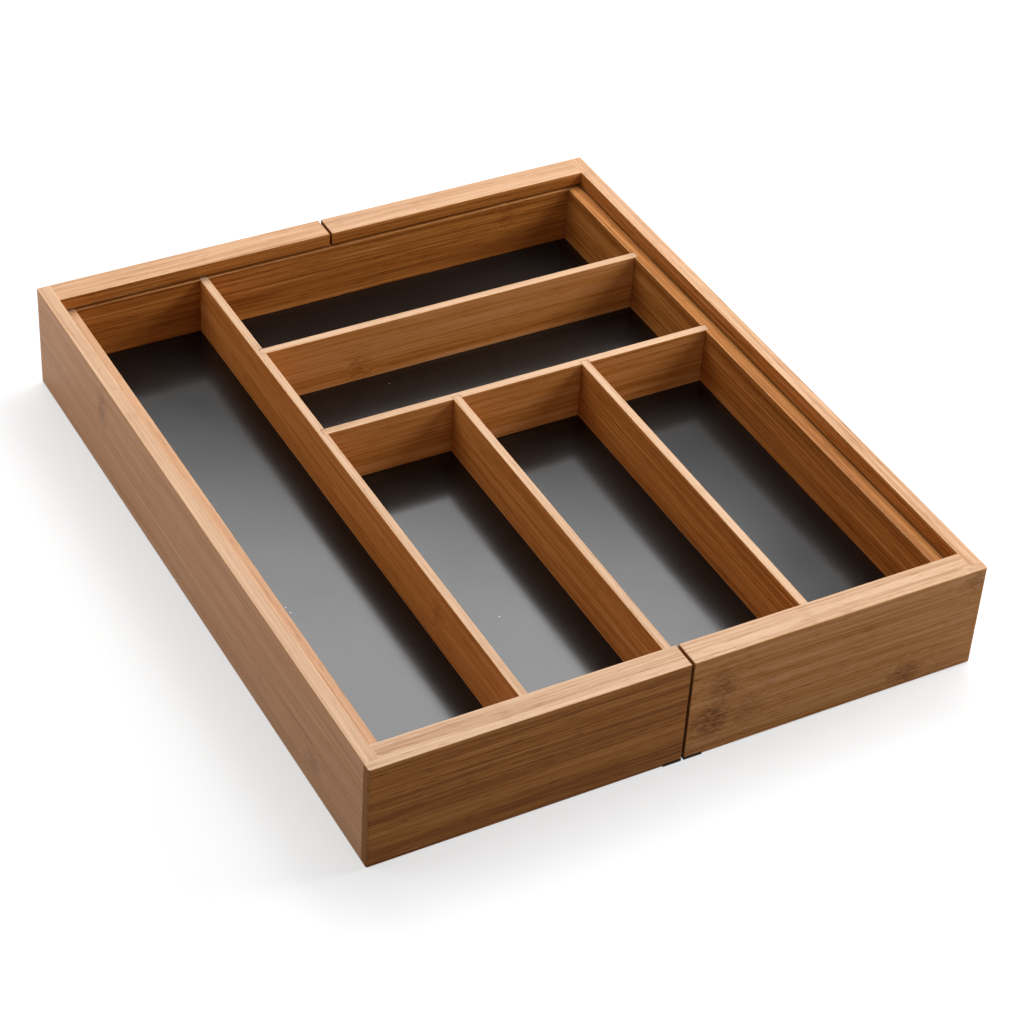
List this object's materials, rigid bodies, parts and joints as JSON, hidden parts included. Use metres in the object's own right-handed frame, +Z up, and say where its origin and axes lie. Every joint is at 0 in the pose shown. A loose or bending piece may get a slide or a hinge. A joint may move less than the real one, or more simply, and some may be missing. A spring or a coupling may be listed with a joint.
{
  "type": "cutlery tray",
  "caption": "Extending bamboo cutlery tray: a divided inner tray with black floors between two halves that slide out sideways to fill a drawer.",
  "frame": {"origin": "centre of the base, on the surface that the pads stand on, with the tray closed", "axes": "+X right along the front, +Y to the rear along the long side, +Z up"},
  "size_m": [0.35, 0.427, 0.0645],
  "materials": {
    "bamboo_rails": "carbonised bamboo, satin lacquer, grain along each board",
    "bamboo_walls": "carbonised bamboo, satin lacquer, grain along each board",
    "bamboo_dividers": "carbonised bamboo, satin lacquer, grain along each board",
    "black_panel": "black laminate on hardboard, satin sheen with faint orange peel",
    "rubber_pads": "matt dark rubber",
    "dowel_wood": "plain turned wood"
  },
  "bodies": {
    "inner_tray": {"inner_left_wall": "bamboo_walls", "inner_right_wall": "bamboo_walls", "inner_front_wall": "bamboo_walls", "inner_rear_wall": "bamboo_walls", "inner_floor": "black_panel", "long_divider": "bamboo_dividers", "rear_cross_divider": "bamboo_dividers", "middle_cross_divider": "bamboo_dividers", "left_short_divider": "bamboo_dividers", "right_short_divider": "bamboo_dividers", "inner_corner_dowels": "dowel_wood", "stop_pins": "dowel_wood"},
    "left_half": {"left_side_rail": "bamboo_rails", "left_front_rail": "bamboo_rails", "left_rear_rail": "bamboo_rails", "left_floor": "black_panel", "left_corner_dowels": "dowel_wood", "left_pads": "rubber_pads"},
    "right_half": {"right_side_rail": "bamboo_rails", "right_front_rail": "bamboo_rails", "right_rear_rail": "bamboo_rails", "right_floor": "black_panel", "right_corner_dowels": "dowel_wood", "right_pads": "rubber_pads"}
  },
  "joints": [
    {"name": "left_slide", "type": "slide", "parent": "inner_tray", "child": "left_half", "axis": [-1, 0, 0], "range_m": [0, 0.1144]},
    {"name": "right_slide", "type": "slide", "parent": "inner_tray", "child": "right_half", "axis": [1, 0, 0], "range_m": [0, 0.1144]}
  ]
}
